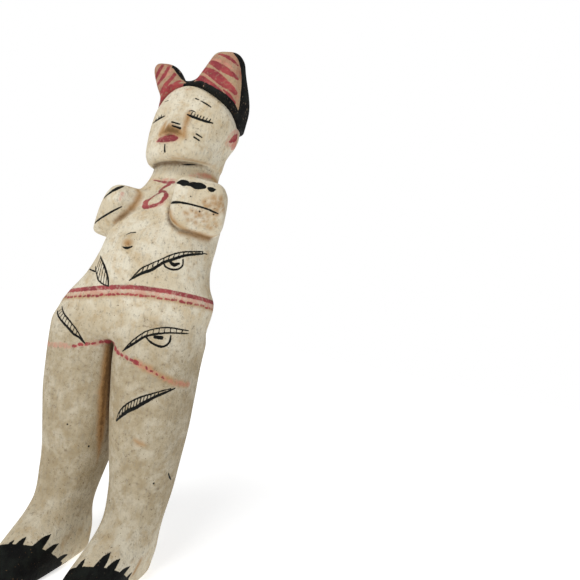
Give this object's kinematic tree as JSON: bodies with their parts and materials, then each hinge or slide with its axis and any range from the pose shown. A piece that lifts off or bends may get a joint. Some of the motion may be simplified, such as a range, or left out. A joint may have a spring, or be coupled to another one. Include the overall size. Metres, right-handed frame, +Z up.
{
  "type": "carved wooden fertility doll",
  "caption": "Standing carved wooden female figure with a horned hair crest, blocky arm stubs, narrow waist, joined thighs and wedge feet, painted white with black and red designs.",
  "frame": {"origin": "middle of the floor under the bounding box, between the soles", "axes": "+Z up from the soles to the crest, the doll faces -Y, its left side is +X"},
  "size_m": [0.072, 0.0602, 0.241],
  "materials": {
    "white_paint": "wood under worn, speckled, cream-white clay paint, matte",
    "black_paint": "wood under black paint with a slight sheen, chipped at its edges",
    "striped_paint": "wood under cream paint with brushed crimson stripes, matte",
    "red_paint": "wood under brushed dark red lines on pink, matte",
    "pink_paint": "wood under thin pink paint, matte"
  },
  "bodies": {
    "root": {"head": "white_paint", "hair_cap": "black_paint", "crest_left": "striped_paint", "crest_right": "striped_paint", "ear_left": "pink_paint", "ear_right": "pink_paint", "neck": "white_paint", "torso": "white_paint", "arm_left": "white_paint", "arm_right": "white_paint", "waist_band": "red_paint", "hips": "white_paint", "leg_left": "white_paint", "leg_right": "white_paint", "foot_left": "white_paint", "foot_right": "white_paint"}
  },
  "joints": []
}
